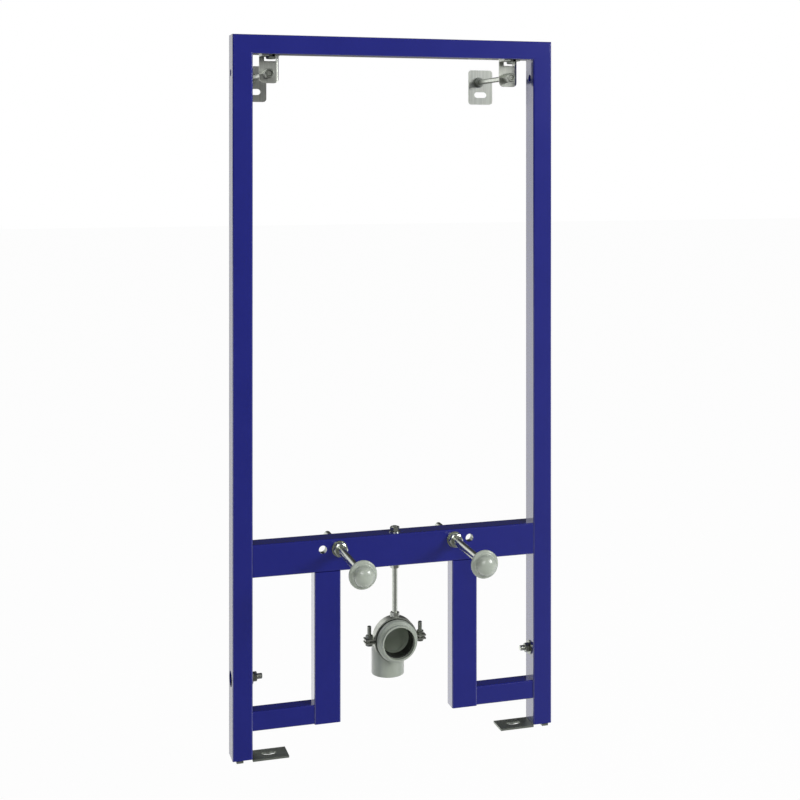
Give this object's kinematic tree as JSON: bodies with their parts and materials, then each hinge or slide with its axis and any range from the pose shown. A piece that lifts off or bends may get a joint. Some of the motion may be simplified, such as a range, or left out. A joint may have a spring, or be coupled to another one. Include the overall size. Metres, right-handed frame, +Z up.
{
  "type": "bidet installation frame",
  "caption": "Blue welded steel frame for a wall-hung bidet, with telescopic feet, capped fixing pins, waste bend in a clamp and adjustable wall brackets.",
  "frame": {"origin": "middle of the wall face of the left wall plate, level with the plate's middle", "axes": "+Y into the wall, square to the wall plate; +X to the right along the frame's width; +Z up along the uprights, the frame's longest extent"},
  "size_m": [0.5, 0.317, 1.0635],
  "materials": {
    "paint": "gloss",
    "zinc_rod": "satin",
    "galvanised_sheet": "satin",
    "fastener_steel": "satin",
    "foot_steel": "satin",
    "cap_plastic": "gloss",
    "pipe_plastic": "satin",
    "rubber": "matte"
  },
  "bodies": {
    "frame": {"upright_left": "paint", "upright_right": "paint", "top_bar": "paint", "crossbar": "paint", "post_left": "paint", "post_right": "paint", "lower_bar_left": "paint", "lower_bar_right": "paint", "weld_nuts": "fastener_steel", "pin_left": "zinc_rod", "pin_right": "zinc_rod", "pin_nut_left": "zinc_rod", "pin_nut_right": "zinc_rod", "pin_cap_left": "cap_plastic", "pin_cap_right": "cap_plastic", "waste_bend": "pipe_plastic", "mouth_seal": "rubber", "clamp_upper": "galvanised_sheet", "clamp_lower": "galvanised_sheet", "clamp_lining": "rubber", "clamp_screw_left": "fastener_steel", "clamp_screw_right": "fastener_steel", "drop_rod": "zinc_rod", "drop_rod_nuts": "zinc_rod", "bracket_left": "galvanised_sheet", "bracket_right": "galvanised_sheet", "bracket_bolt_left": "fastener_steel", "bracket_bolt_right": "fastener_steel", "wall_rod_left": "zinc_rod", "wall_rod_right": "zinc_rod", "wall_nuts_left": "fastener_steel", "wall_nuts_right": "fastener_steel", "wall_plate_left": "galvanised_sheet", "wall_plate_right": "galvanised_sheet", "foot_screw_left": "zinc_rod", "foot_screw_right": "zinc_rod", "foot_nut_left": "fastener_steel", "foot_nut_right": "fastener_steel"},
    "left_foot": {"leg_left": "foot_steel", "foot_plate_left": "foot_steel"},
    "right_foot": {"leg_right": "foot_steel", "foot_plate_right": "foot_steel"}
  },
  "joints": [
    {"name": "left_foot_slide", "type": "slide", "parent": "frame", "child": "left_foot", "axis": [0, 0, -1], "range_m": [0, 0.2]},
    {"name": "right_foot_slide", "type": "slide", "parent": "frame", "child": "right_foot", "axis": [0, 0, -1], "range_m": [0, 0.2]}
  ]
}
